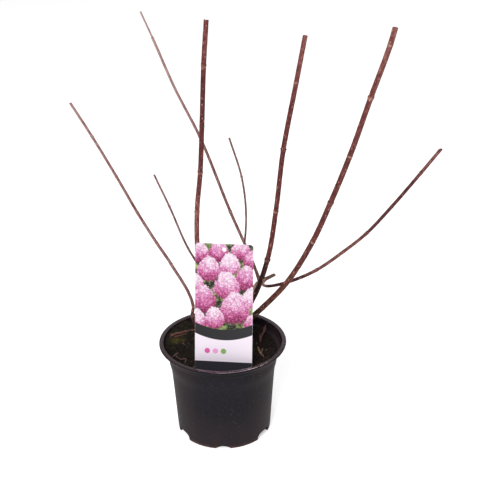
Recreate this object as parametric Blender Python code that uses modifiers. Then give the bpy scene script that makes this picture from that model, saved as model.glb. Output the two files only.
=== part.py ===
"""Hydrangea shrub in its nursery pot, leafless, with its plant label.

Metres, +Z up. The origin is the middle of the pot's flat underside.
The label and the front of the pot face -Y, and +X is to the right of them.
A short woody base stands on the soil. Five canes and a pruned stub leave it, and three
thinner canes leave one of those. Every cane is a chain of internodes, as it grew.
"""
import math
from collections import namedtuple

import bmesh
import bpy
from mathutils import Matrix, Vector

MM = 0.001
GAP = 0.3            # clearance between touching pieces, mm
SMALL = 1e-6         # merging distance for welded points, m

# --- pot, mm -------------------------------------------------------------------------
POT_HEIGHT = 148.0
WALL = 1.2
POT_SEGMENTS = 60
# (radius, height) down the outside: rolled lip, collar, upper band, shoulder, taper
POT_OUTSIDE = (
    (91.5, 148.0), (94.3, 147.4), (95.0, 146.0), (94.4, 144.6), (92.6, 143.2), (90.2, 141.8),
    (88.4, 139.5), (87.8, 135.6), (86.6, 134.2), (83.2, 132.4), (82.0, 130.5),
    (81.8, 118.0), (81.0, 114.0), (78.4, 108.0), (70.8, 1.5), (70.0, 0.0),
)
# the same down the inside, from above the lip to the floor
POT_INSIDE = (
    (90.6, 149.0), (89.4, 147.2), (88.6, 144.5), (87.4, 140.5), (86.6, 136.2), (85.9, 135.3),
    (82.4, 133.4), (80.8, 130.9), (80.6, 118.0), (79.8, 114.2), (77.1, 107.6), (69.4, 1.2),
)
POCKET_COUNT = 6     # drainage pockets in the base corner, the first of them at the front
FRONT_POCKET = (23.0, 5.2, 1.5)    # width, height and squareness, which is 2 for an ellipse
SIDE_POCKET = (30.5, 10.8, 3.5)
POCKET_AZIMUTH = -91.3             # degrees, of the first pocket
POCKET_DEPTH = 8.5
POCKET_OVERSHOOT = 8.0
POCKET_SEGMENTS = 32

# --- soil and moss, mm ---------------------------------------------------------------
SOIL_TOP = 129.0
MOSS_CENTRE = (-68.0, 40.0)
MOSS_HALF_WIDTH = 50.0
MOSS_HALF_LENGTH = 70.0
MOSS_RISE = 16.0
MOSS_SINK = 3.0      # how far the bank's middle plane lies below the soil's top
MOSS_CLEARANCE = (0.4, 0.3)   # inward and upward from the pot's inside
MOSS_SEGMENTS = 32
MOSS_RINGS = 16

# --- plant label, mm -----------------------------------------------------------------
LABEL_WIDTH = 84.5
LABEL_HEIGHT = 195.5
LABEL_THICKNESS = 0.6
LABEL_CORNER = 5.0
LABEL_HOLE_DIAMETER = 5.5
LABEL_HOLE_DROP = 8.5
STAKE_WIDTH = 34.0
STAKE_TIP_WIDTH = 8.0
STAKE_LENGTH = 42.0
LABEL_FOOT = (0.9, -62.1, SOIL_TOP + 0.4)
LABEL_LEAN = 12.0    # degrees, top away from the front
LABEL_YAW = -7.24    # degrees, right edge towards the front
LABEL_SLOT = 0.35    # clearance round the stake in the soil
CORNER_STEPS = 5
HOLE_STEPS = 16

# --- woody base, mm: (x, y, height above the soil, diameter) from flare to knuckle -----
BASE_STATIONS = (
    (4.0, 0.0, GAP, 30.0), (4.0, 0.0, 4.5, 23.5), (5.0, 0.0, 16.0, 20.5), (6.5, 1.0, 28.0, 22.5),
    (7.0, 1.0, 38.0, 24.5), (7.0, 1.0, 44.0, 21.5), (7.0, 1.0, 47.5, 12.5),
)
BASE_RESOLUTION = 3

# --- canes ---------------------------------------------------------------------------
# foot: the start of the centre line, mm, inside the parent
# base, tip: diameters, mm; last: diameter of the youngest internode, where it is thinner
# growth: runs of (heading in degrees, ((internode length in mm, lean from upright), ...)),
# where heading 0 is +X and heading 90 is +Y
Cane = namedtuple("Cane", "name parent foot base tip last growth")
WOODY_BASE = "woody_base"
STUB = "pruned_stub"
TALL_LEFT = "cane_left_tall"
CANES = (
    Cane("cane_right_thick", WOODY_BASE, (16, -5, 164), 8.0, 7.4, None,
         ((-18, ((68, 43), (61, 38), (80, 28), (68, 21.5), (79, 19.5), (90, 17), (80, 17.5), (24, 14))),)),
    Cane("cane_right_tall", WOODY_BASE, (11, 0, 170), 7.0, 6.9, None,
         ((18, ((52, 46), (70, 19), (79, 10), (95, 7), (102, 11), (67, 11))),)),
    Cane(TALL_LEFT, WOODY_BASE, (1, -2, 170), 7.4, 6.7, None,
         ((176, ((71, 24), (66, 5))),
          (200, ((61, -1),)),
          (290, ((73, 16), (75, 10), (93, 9), (69, 13))))),
    Cane("cane_left_long", WOODY_BASE, (-3, -2, 150), 5.0, 3.6, None,
         ((195, ((48, 50), (19, 16), (16, -5), (79, 22.5), (42, 28), (57, 26.5), (65, 24.5),
                 (70, 25.5), (59, 27))),)),
    Cane("cane_back_short", WOODY_BASE, (3, 7, 168), 3.2, 2.9, None,
         ((45, ((55, 33), (67, 12))),
          (30, ((59, 4.5),)),
          (160, ((58, 6), (62, 17))))),
    Cane(STUB, WOODY_BASE, (10, 6, 168), 6.5, 5.0, None,
         ((40, ((60, 46), (17, 54), (34, 83))),)),
    Cane("cane_back_tall", STUB, (58, 46, 221), 4.8, 4.1, 2.6,
         ((154, ((34, 21), (84, 25), (122, 23), (81, 29), (79, 25), (41, 26))),)),
    Cane("cane_right_low", STUB, (61, 49, 221), 4.8, 5.3, None,
         ((-5, ((11, 133),)),
          (17, ((36, 88), (43, 74), (50, 61), (45, 56), (56, 46), (66, 43), (49, 42))))),
    Cane("cane_left_short", TALL_LEFT, (-31, 0, 273), 3.3, 3.0, None,
         ((150, ((31, 37), (68, 26), (52, 28))),)),
)
KNOT_SWELL = 1.15    # diameter at a joint between internodes, over the diameter beside it
KNOT_REACH = 2.4     # mm from the joint to where the swelling ends
BEND_STEPS = 3       # straight steps along an internode
CANE_RESOLUTION = 2

# --- colours: linear RGB -------------------------------------------------------------
COLOURS = {
    "pot_plastic": ((0.026, 0.023, 0.026), 0.45),
    "soil": ((0.030, 0.020, 0.014), 0.95),
    "moss": ((0.075, 0.080, 0.020), 0.95),
    "label_card": ((0.80, 0.70, 0.80), 0.30),
    "old_wood": ((0.120, 0.070, 0.040), 0.80),
    "cane_bark": ((0.100, 0.030, 0.020), 0.55),
}


def clear_scene():
    """Remove every object that is in the scene."""
    for obj in list(bpy.data.objects):
        bpy.data.objects.remove(obj, do_unlink=True)


def make_collection(name):
    """Return a new collection linked to the scene."""
    collection = bpy.data.collections.new(name)
    bpy.context.scene.collection.children.link(collection)
    return collection


def make_material(name):
    """Return a Principled material of the named colour."""
    colour, roughness = COLOURS[name]
    material = bpy.data.materials.new(name)
    material.use_nodes = True
    shader = material.node_tree.nodes["Principled BSDF"]
    shader.inputs["Base Color"].default_value = (*colour, 1.0)
    shader.inputs["Roughness"].default_value = roughness
    material.diffuse_color = (*colour, 1.0)
    return material


def add_mesh_object(name, mesh, collection, material=None):
    """Link a mesh as a named object; without a material it is a cutter."""
    obj = bpy.data.objects.new(name, mesh)
    collection.objects.link(obj)
    if material is None:
        obj.hide_render = True
        obj.display_type = "WIRE"
    else:
        mesh.materials.append(material)
    return obj


def revolve(name, profile, collection, material=None, segments=POT_SEGMENTS):
    """Turn a (radius, height) profile in mm, listed from top to bottom, about Z."""
    top = profile[0][1]
    bottom = profile[-1][1]
    outline = [(0.0, top), *profile, (0.0, bottom)]
    mesh = bpy.data.meshes.new(name)
    verts = [(radius * MM, 0.0, height * MM) for radius, height in outline]
    edges = [(i, i + 1) for i in range(len(outline) - 1)]
    mesh.from_pydata(verts, edges, [])
    obj = add_mesh_object(name, mesh, collection, material)
    screw = obj.modifiers.new("turn", "SCREW")
    screw.axis = "Z"
    screw.angle = math.tau
    screw.steps = segments
    screw.render_steps = segments
    screw.use_merge_vertices = True
    screw.merge_threshold = SMALL
    screw.use_smooth_shade = False
    return obj


def cut(obj, cutter, operation="DIFFERENCE"):
    """Combine an object with a cutter by an exact Boolean."""
    boolean = obj.modifiers.new(f"{operation.lower()} {cutter.name}", "BOOLEAN")
    boolean.operation = operation
    boolean.object = cutter
    boolean.solver = "EXACT"


def mesh_object_from_curve(curve_object, collection, material=None):
    """Replace a curve object by a mesh object with welded caps."""
    name = curve_object.name
    bpy.context.view_layer.update()
    depsgraph = bpy.context.evaluated_depsgraph_get()
    mesh = bpy.data.meshes.new_from_object(curve_object.evaluated_get(depsgraph))
    mesh.name = name
    matrix = curve_object.matrix_world.copy()
    bpy.data.objects.remove(curve_object, do_unlink=True)
    build = bmesh.new()
    build.from_mesh(mesh)
    bmesh.ops.remove_doubles(build, verts=build.verts, dist=SMALL)
    build.to_mesh(mesh)
    build.free()
    mesh.materials.clear()
    obj = add_mesh_object(name, mesh, collection, material)
    obj.matrix_world = matrix
    return obj


def tube(name, stations, resolution, collection, material=None, grow=0.0):
    """Make a tapering limb through (point, diameter) stations in mm."""
    curve = bpy.data.curves.new(name, "CURVE")
    curve.dimensions = "3D"
    curve.bevel_depth = MM
    curve.bevel_resolution = resolution
    curve.use_fill_caps = True
    spline = curve.splines.new("POLY")
    spline.points.add(len(stations) - 1)
    for point, (place, diameter) in zip(spline.points, stations):
        point.co = (*(Vector(place) * MM), 1.0)
        point.radius = diameter / 2 + grow
    curve_object = bpy.data.objects.new(name, curve)
    collection.objects.link(curve_object)
    obj = mesh_object_from_curve(curve_object, collection, material)
    if material is not None:
        obj.data.shade_smooth()
        obj.data.set_sharp_from_angle(angle=math.radians(50))
    return obj


# --- pot -----------------------------------------------------------------------------

def squared(share, squareness):
    """Move a unit circle's coordinate out, so that the circle becomes a squarer outline."""
    share = round(share, 6)
    return math.copysign(abs(share) ** (2 / squareness), share)


def pocket_ring(name, grow, collection):
    """Make the ring of drainage pockets, each grown by the given mm."""
    inner = POT_OUTSIDE[-1][0] - POCKET_DEPTH - grow
    outer = POT_OUTSIDE[-1][0] + POCKET_OVERSHOOT
    build = bmesh.new()
    for index in range(POCKET_COUNT):
        front_or_back = index % (POCKET_COUNT // 2) == 0
        width, height, squareness = FRONT_POCKET if front_or_back else SIDE_POCKET
        lie_down = Matrix.Rotation(math.pi / 2, 4, "Y")
        move_out = Matrix.Translation(((inner + outer) / 2 * MM, 0.0, 0.0))
        turn = Matrix.Rotation(math.radians(POCKET_AZIMUTH) + index * math.tau / POCKET_COUNT, 4, "Z")
        cone = bmesh.ops.create_cone(
            build, cap_ends=True, segments=POCKET_SEGMENTS, radius1=1.0, radius2=1.0,
            depth=(outer - inner) * MM, matrix=lie_down)
        for vert in cone["verts"]:
            across = squared(vert.co.y, squareness)
            up = squared(vert.co.z, squareness)
            vert.co.y = across * (width / 2 + grow) * MM
            vert.co.z = up * (height + grow) * MM
        bmesh.ops.transform(build, matrix=turn @ move_out, verts=cone["verts"])
    mesh = bpy.data.meshes.new(name)
    build.to_mesh(mesh)
    build.free()
    return add_mesh_object(name, mesh, collection)


def build_pot(parts, cutters):
    """Turn the pot, hollow it and press the drainage pockets into its base corner."""
    pot = revolve("pot", POT_OUTSIDE, parts, make_material("pot_plastic"))
    cavity = revolve("pot_cavity", POT_INSIDE, cutters)
    cut(cavity, pocket_ring("pocket_walls", WALL, cutters))
    cut(pot, cavity)
    cut(pot, pocket_ring("pockets", 0.0, cutters))
    return pot


# --- soil, moss and label ------------------------------------------------------------

def build_soil(parts, cutters):
    """Fill the pot with soil, clear of its wall and of the drainage pockets."""
    floor = WALL + GAP
    sides = [(radius - GAP, height) for radius, height in POT_INSIDE[1:-1] if height < SOIL_TOP]
    top_radius = sides[0][0]
    foot_radius = POT_INSIDE[-1][0] - GAP
    profile = [(top_radius, SOIL_TOP), *sides, (foot_radius, floor)]
    soil = revolve("soil", profile, parts, make_material("soil"))
    cut(soil, pocket_ring("pocket_clearance", WALL + GAP, cutters))
    cut(soil, label_plate("label_slot", LABEL_SLOT, cutters))
    return soil


def build_moss(parts, cutters):
    """Bank the mossy ground up against the left of the pot, trimmed to the pot's inside."""
    mesh = bpy.data.meshes.new("moss")
    build = bmesh.new()
    place = Matrix.Translation(Vector((*MOSS_CENTRE, SOIL_TOP - MOSS_SINK)) * MM)
    size = Matrix.Diagonal((MOSS_HALF_WIDTH, MOSS_HALF_LENGTH, MOSS_RISE + MOSS_SINK, 1.0))
    bmesh.ops.create_uvsphere(
        build, u_segments=MOSS_SEGMENTS, v_segments=MOSS_RINGS, radius=1.0,
        matrix=place @ Matrix.Diagonal((MM, MM, MM, 1.0)) @ size)
    build.to_mesh(mesh)
    build.free()
    moss = add_mesh_object("moss", mesh, parts, make_material("moss"))
    inward, upward = MOSS_CLEARANCE
    bottom = SOIL_TOP + GAP
    limit = [(radius - inward, height + upward) for radius, height in POT_INSIDE if height > bottom]
    limit.append((limit[-1][0], bottom))
    cut(moss, revolve("moss_limit", limit, cutters), "INTERSECT")
    return moss


def arc(centre, radius, start, end, steps):
    """Return points on an arc, angles in degrees."""
    points = []
    for step in range(steps + 1):
        angle = math.radians(start + (end - start) * step / steps)
        points.append((centre[0] + radius * math.cos(angle), centre[1] + radius * math.sin(angle)))
    return points


def label_outline(grow):
    """Return the label's outline in its own plane, from the stake's tip round to the left."""
    half = LABEL_WIDTH / 2 + grow
    top = LABEL_HEIGHT + grow
    corner = LABEL_CORNER + grow
    stake = STAKE_WIDTH / 2 + grow
    tip = STAKE_TIP_WIDTH / 2 + grow
    outline = [(-tip, -STAKE_LENGTH - grow), (tip, -STAKE_LENGTH - grow), (stake, -grow), (half, -grow)]
    outline += arc((half - corner, top - corner), corner, 0, 90, CORNER_STEPS)
    outline += arc((corner - half, top - corner), corner, 90, 180, CORNER_STEPS)
    outline += [(-half, -grow), (-stake, -grow)]
    return outline


def label_plate(name, grow, collection, material=None):
    """Make the label, leaning back in the soil; the grown one is its cutter."""
    curve = bpy.data.curves.new(name, "CURVE")
    curve.dimensions = "2D"
    curve.fill_mode = "BOTH"
    curve.extrude = (LABEL_THICKNESS / 2 + grow) * MM
    outlines = [label_outline(grow)]
    if grow == 0.0:
        hole_centre = (0.0, LABEL_HEIGHT - LABEL_HOLE_DROP)
        hole = arc(hole_centre, LABEL_HOLE_DIAMETER / 2, 360, 0, HOLE_STEPS)
        outlines.append(hole[:-1])
    for outline in outlines:
        spline = curve.splines.new("POLY")
        spline.use_cyclic_u = True
        spline.points.add(len(outline) - 1)
        for point, (x, y) in zip(spline.points, outline):
            point.co = (x * MM, y * MM, 0.0, 1.0)
    plate = bpy.data.objects.new(name, curve)
    collection.objects.link(plate)
    plate.location = Vector(LABEL_FOOT) * MM
    plate.rotation_euler = (math.radians(90 - LABEL_LEAN), 0.0, math.radians(LABEL_YAW))
    return mesh_object_from_curve(plate, collection, material)


# --- wood ----------------------------------------------------------------------------

def base_limb(name, collection, material=None, grow=0.0):
    """Make the woody base, from its flat cut on the soil to the knuckle."""
    stations = [((x, y, SOIL_TOP + height), diameter) for x, y, height, diameter in BASE_STATIONS]
    return tube(name, stations, BASE_RESOLUTION, collection, material, grow)


def cane_joints(cane):
    """Return the places of a cane's foot, joints and tip, in mm."""
    joints = [Vector(cane.foot)]
    for heading, internodes in cane.growth:
        across = Vector((math.cos(math.radians(heading)), math.sin(math.radians(heading)), 0.0))
        for length, lean in internodes:
            slope = math.radians(lean)
            step = across * math.sin(slope) + Vector((0.0, 0.0, math.cos(slope)))
            joints.append(joints[-1] + step * length)
    return joints


def cane_directions(joints):
    """Return the cane's direction at each joint, halfway between its two internodes."""
    steps = [(end - start).normalized() for start, end in zip(joints, joints[1:])]
    before = [steps[0], *steps]
    after = [*steps, steps[-1]]
    return [(a + b).normalized() for a, b in zip(before, after)]


def hermite(start, end, leave, arrive, t):
    """Return the point at t on the smooth curve between two joints."""
    span = (end - start).length
    a = 2 * t ** 3 - 3 * t ** 2 + 1
    b = t ** 3 - 2 * t ** 2 + t
    c = 3 * t ** 2 - 2 * t ** 3
    d = t ** 3 - t ** 2
    return start * a + leave * (span * b) + end * c + arrive * (span * d)


def cane_stations(cane):
    """Return the (point, diameter) stations of a cane, swollen at its joints."""
    joints = cane_joints(cane)
    directions = cane_directions(joints)
    count = len(joints) - 1
    total = sum((end - start).length for start, end in zip(joints, joints[1:]))
    stations = []
    travelled = 0.0
    for index in range(count):
        start, end = joints[index], joints[index + 1]
        span = (end - start).length
        reach = min(KNOT_REACH / span, 0.25)
        places = {0.0: index > 0}
        for step in range(BEND_STEPS + 1):
            places[reach + (1 - 2 * reach) * step / BEND_STEPS] = False
        for t, swollen in places.items():
            diameter = cane.base + (cane.tip - cane.base) * (travelled + span * t) / total
            if cane.last is not None and index == count - 1 and not swollen:
                diameter = cane.last
            if swollen:
                diameter *= KNOT_SWELL
            point = hermite(start, end, directions[index], directions[index + 1], t)
            stations.append((point, diameter))
        travelled += span
    stations.append((joints[-1], cane.tip if cane.last is None else cane.last))
    return stations


def build_wood(parts, cutters):
    """Make the woody base and the canes, each cut to sit snugly on its parent."""
    bark = make_material("cane_bark")
    base_limb(WOODY_BASE, parts, make_material("old_wood"))
    grown = {WOODY_BASE: base_limb("woody_base_clearance", cutters, grow=GAP)}
    parents = {cane.parent for cane in CANES}
    for cane in CANES:
        stations = cane_stations(cane)
        limb = tube(cane.name, stations, CANE_RESOLUTION, parts, bark)
        cut(limb, grown[cane.parent])
        if cane.name in parents:
            clearance = f"{cane.name}_clearance"
            grown[cane.name] = tube(clearance, stations, CANE_RESOLUTION, cutters, grow=GAP)


def main():
    """Build the whole plant in its pot."""
    clear_scene()
    parts = make_collection("hydrangea_shrub")
    cutters = make_collection("cutters")
    build_pot(parts, cutters)
    build_soil(parts, cutters)
    build_moss(parts, cutters)
    label_plate("plant_label", 0.0, parts, make_material("label_card"))
    build_wood(parts, cutters)


main()
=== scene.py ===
import math
import random
from collections import namedtuple
from itertools import combinations

import bmesh
import bpy
import numpy as np
from mathutils import Matrix, Vector, noise


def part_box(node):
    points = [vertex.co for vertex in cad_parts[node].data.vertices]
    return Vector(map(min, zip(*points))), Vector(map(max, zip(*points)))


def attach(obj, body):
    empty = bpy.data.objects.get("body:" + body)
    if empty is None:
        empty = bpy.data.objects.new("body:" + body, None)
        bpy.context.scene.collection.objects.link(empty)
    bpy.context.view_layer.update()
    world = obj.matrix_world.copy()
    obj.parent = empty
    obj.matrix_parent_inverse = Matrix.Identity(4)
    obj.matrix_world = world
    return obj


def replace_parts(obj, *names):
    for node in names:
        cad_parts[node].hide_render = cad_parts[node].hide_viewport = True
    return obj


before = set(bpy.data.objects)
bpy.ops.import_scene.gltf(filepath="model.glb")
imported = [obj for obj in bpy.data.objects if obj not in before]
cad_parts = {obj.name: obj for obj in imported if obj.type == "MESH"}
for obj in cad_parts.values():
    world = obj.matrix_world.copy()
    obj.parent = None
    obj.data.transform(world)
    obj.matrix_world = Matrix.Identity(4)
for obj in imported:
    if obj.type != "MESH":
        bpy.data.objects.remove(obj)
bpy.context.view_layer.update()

# Looks of the potted hydrangea shrub. Lengths are in mm unless a comment says otherwise, and colours
# are 8-bit sRGB values.
MM = 0.001
BODY = "root"
rng = random.Random(7)

# --- camera and light ---
CAMERA_TARGET = Vector((0.0285, 0.0, 0.3156))   # m
CAMERA_DISTANCE = 2.0                           # m
CAMERA_PITCH = 26.32                            # degrees down
CAMERA_ROLL = -0.91                             # degrees
CAMERA_LENS = 103.4
SENSOR_WIDTH = 36.0
WORLD_STRENGTH = 0.35
FLOOR_SIZE = 24.0                               # m
FLOOR_GLOW = 0.45
FLOOR_COLOUR = (0.9, 0.9, 0.9, 1.0)             # linear
WHITE = (1.0, 1.0, 1.0, 1.0)
LAMP_AIM = Vector((0.03, 0.0, 0.25))            # m
LAMPS = (                                       # place and size in m, power in W
    ("key", (-0.7, -2.5, 2.2), (1.3, 1.3), 88.0),
    ("top", (0.4, 0.9, 2.6), (1.4, 1.4), 22.0),
)

# --- pot: (radius, height) down the outside and down the inside ---
POT_OUTSIDE = (
    (91.7, 148.7), (94.9, 148.1), (95.7, 146.6), (95.1, 145.1), (93.1, 143.5), (90.4, 141.9),
    (88.4, 139.5), (87.8, 135.6), (86.6, 134.2), (83.2, 132.4), (82.0, 130.5),
    (81.8, 122.0), (81.1, 116.0), (79.6, 110.0), (77.6, 101.0), (70.8, 1.5), (70.0, 0.0),
)
POT_INSIDE = (
    (90.4, 150.2), (89.8, 148.9), (88.9, 148.0), (88.3, 146.4), (87.9, 143.7), (87.3, 140.0),
    (86.7, 136.8), (86.0, 135.4), (84.2, 134.3), (82.4, 132.8), (81.0, 130.4), (80.6, 127.0),
    (80.5, 122.0), (79.8, 115.8), (78.3, 109.6), (76.3, 100.6), (69.4, 1.2),
)
POT_SIDES = 144
CORNER_CUT = 0.25       # share of an edge that is cut off at each corner of the profile
WALL = 1.2
LIP_HEIGHT = 145.0      # the glossy lip is what is above this and faces outwards by less than LIP_TILT
LIP_TILT = 0.4
LIP_TINT = (0.92, 0.74, 0.82, 1.0)      # linear
SHARP_EDGE = 32         # degrees
POCKET_COUNT = 6
FRONT_POCKET = (23.0, 5.2, 1.5)     # width, height and squareness of the outline; 2 is an ellipse
SIDE_POCKET = (30.5, 10.8, 3.5)
POCKET_AZIMUTH = -91.3              # degrees
POCKET_INNER = 61.5                 # radius
POCKET_OUTER = 78.0                 # radius, past the wall
POCKET_SIDES = 32

# --- soil ---
SOIL_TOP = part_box("soil")[1].z / MM
SOIL_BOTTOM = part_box("soil")[0].z / MM
SOIL_REACH = 82.0
SOIL_SINK = 0.4            # how far its middle lies below the solid's top
SOIL_WALL_RISE = 3.2       # how much higher the soil lies at the pot's wall
# heights where the soil meets the pot's wall
SOIL_FLANK_LEVELS = (SOIL_TOP - 2.0, 122.0, 115.8, 109.6, 100.6, 16.0)
SOIL_FOOT_RADIUS = 59.4    # clear of the pockets
SOIL_FOOT_HEIGHT = 13.5
SOIL_RINGS = 70
SOIL_SPOKES = 220
# relief of the ground: (height, fineness, level in the noise, octaves)
SOIL_RELIEF = ((1.1, 0.045, 3.0, 3), (0.8, 0.25, 9.0, 3), (0.45, 0.9, 5.0, 2))
BANK_RELIEF = ((1.7, 0.07, 30.0, 3), (0.9, 0.22, 31.0, 3), (0.4, 0.8, 33.0, 2))
WALL_OVERLAP = 0.25        # how far the ground reaches into the pot's wall
# what lies on the ground: how many, within which radius, and how large
CRUMB_COUNT = 4200
CRUMB_REACH = 80.0
CRUMB_SIZE = 0.35
CRUMB_SPREAD = 1.5         # how much larger the largest are
CRUMB_SHAPE = ((0.7, 1.6), (0.6, 1.0), (0.4, 0.9))     # ranges of the three half sizes
CRUMB_RAGGEDNESS = (0.75, 1.15)
CRUMB_LIFT = 0.25          # height of the centre over the size
CRUMB_SHADES = (7, 3, 0.7)     # shares of dark, brown and bark crumbs
GRAIN_COUNT = 70           # pale mineral grains
GRAIN_REACH = 74.0
GRAIN_SHIFT = -8.0         # in x
GRAIN_SIZE = (0.35, 0.85)
FIBRE_COUNT = 190
FIBRE_REACH = 76.0
FIBRE_LENGTH = (6.0, 24.0)
FIBRE_LIFT = (0.1, 0.9)
FIBRE_RADIUS = (0.10, 0.24)
FIBRE_SIDES = 5

# --- moss: the bank against the left of the pot ---
MOSS_CENTRE = (-68.0, 40.0)
MOSS_HALF_SIZE = (50.0, 70.0)
MOSS_RISE = 16.0
MOSS_SINK = 3.0
BANK_DEPTH = 5.0
# where the moss is fresh and bright: (x, y, reach, strength)
FRESH_MOSS = (
    (-70.0, 9.0, 10.0, 0.9), (-57.0, 14.0, 7.0, 0.5), (-67.0, 58.0, 9.0, 0.4), (-42.0, -10.0, 8.0, 0.3),
)
BANK_TURN = 60           # degrees
BANK_SWEEP = 200         # degrees
BANK_SLICES = 170
BANK_STEPS = 46
BANK_WALL_STEPS = 8
TUFT_COUNT = 5200
TUFT_REACH = 86.0
TUFT_SINK = 0.3                    # of the roots in the ground
TUFT_CLEARANCE = 0.8               # from the pot's wall
TUFT_HEIGHT = (0.9, 2.2)
BLADES = (6, 9)
BLADE_SLOPE = (0.45, 1.4)          # radians
BLADE_HALF_WIDTH = (0.16, 0.28)
BLADE_LENGTH = (0.5, 0.9)          # over the tuft's height
SHADE_LEVELS = (0.45, 0.75)        # from where a tuft is olive, and bright

# --- label ---
LABEL_WIDTH = 84.5
LABEL_HEIGHT = 195.5
LABEL_THICKNESS = 0.6
LABEL_BEVEL = 0.12
LABEL_CORNER = 5.0
CORNER_STEPS = 8
HOLE_DIAMETER = 5.5
HOLE_DROP = 8.5
HOLE_SIDES = 24
STAKE_WIDTH = 34.0
STAKE_TIP_WIDTH = 8.0
STAKE_LENGTH = 42.0
LABEL_FOOT = (0.9, -62.1, SOIL_TOP + 0.4)
LABEL_LEAN = 12.0
LABEL_YAW = -7.24
# cone-shaped flower heads of the printed picture, from the back to the front: (x, y, radius, paleness)
HEADS = (
    (24.0, 188.0, 14.0, 0.1), (-8.0, 184.0, 15.0, -0.1), (40.0, 172.0, 13.0, -0.15),
    (-36.0, 182.0, 14.0, 0.0), (8.0, 166.0, 15.0, 0.3), (-22.0, 158.0, 17.0, 0.05),
    (32.0, 146.0, 17.0, -0.1), (-42.0, 136.0, 13.0, 0.2), (4.0, 134.0, 19.0, 0.05),
    (-30.0, 112.0, 19.0, -0.15), (40.0, 116.0, 14.0, 0.35), (16.0, 100.0, 22.0, -0.05),
    (-40.0, 82.0, 14.0, 0.25), (-14.0, 84.0, 15.0, 0.1), (42.0, 76.0, 13.0, -0.1),
)
HEAD_STRETCH = 1.16     # height of a flower head over its breadth
HEAD_TAPER = 0.34       # how much a head narrows towards its top
FLORET = 3.8            # width of one printed floret
PINKS = ((0.0, (112, 28, 74)), (0.3, (186, 74, 132)), (0.58, (224, 148, 196)), (0.88, (248, 232, 243)))
PICTURE_FOOT = 66.0
DARK_BAND = 16.0        # height of the dark band under the picture
BAND_CURVE = 5.5        # rise of its edges in m, over the square of x in m
LABEL_BASE = 17.0       # height of the dark strip at the foot
PRINT_EDGE = 0.15       # half width of an edge between printed areas
DOTS = ((-24.0, (222, 96, 168)), (-12.0, (240, 168, 212)), (0.0, (136, 172, 92)))   # (x, colour)
DOT_HEIGHT = 33.0
DOT_RADII = (4.2, 3.9)
PRINT_INK = (228, 225, 228)

# --- woody base: (x, y, height above the soil, diameter) ---
BASE_STATIONS = (
    (4.0, 0.0, 0.3, 30.0), (4.0, 0.0, 4.5, 23.5), (5.0, 0.0, 16.0, 20.5), (6.5, 1.0, 28.0, 22.5),
    (7.0, 1.0, 38.0, 24.5), (7.0, 1.0, 44.0, 21.5), (7.0, 1.0, 47.5, 12.5),
)
BASE_RELIEF = ((0.10, 1.3, 0.03), (0.045, 6.0, 0.05), (0.07, 2.0, 0.14))  # (height, fineness round, up)
BASE_LEVELS = 70
BASE_SIDES = 72

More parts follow.
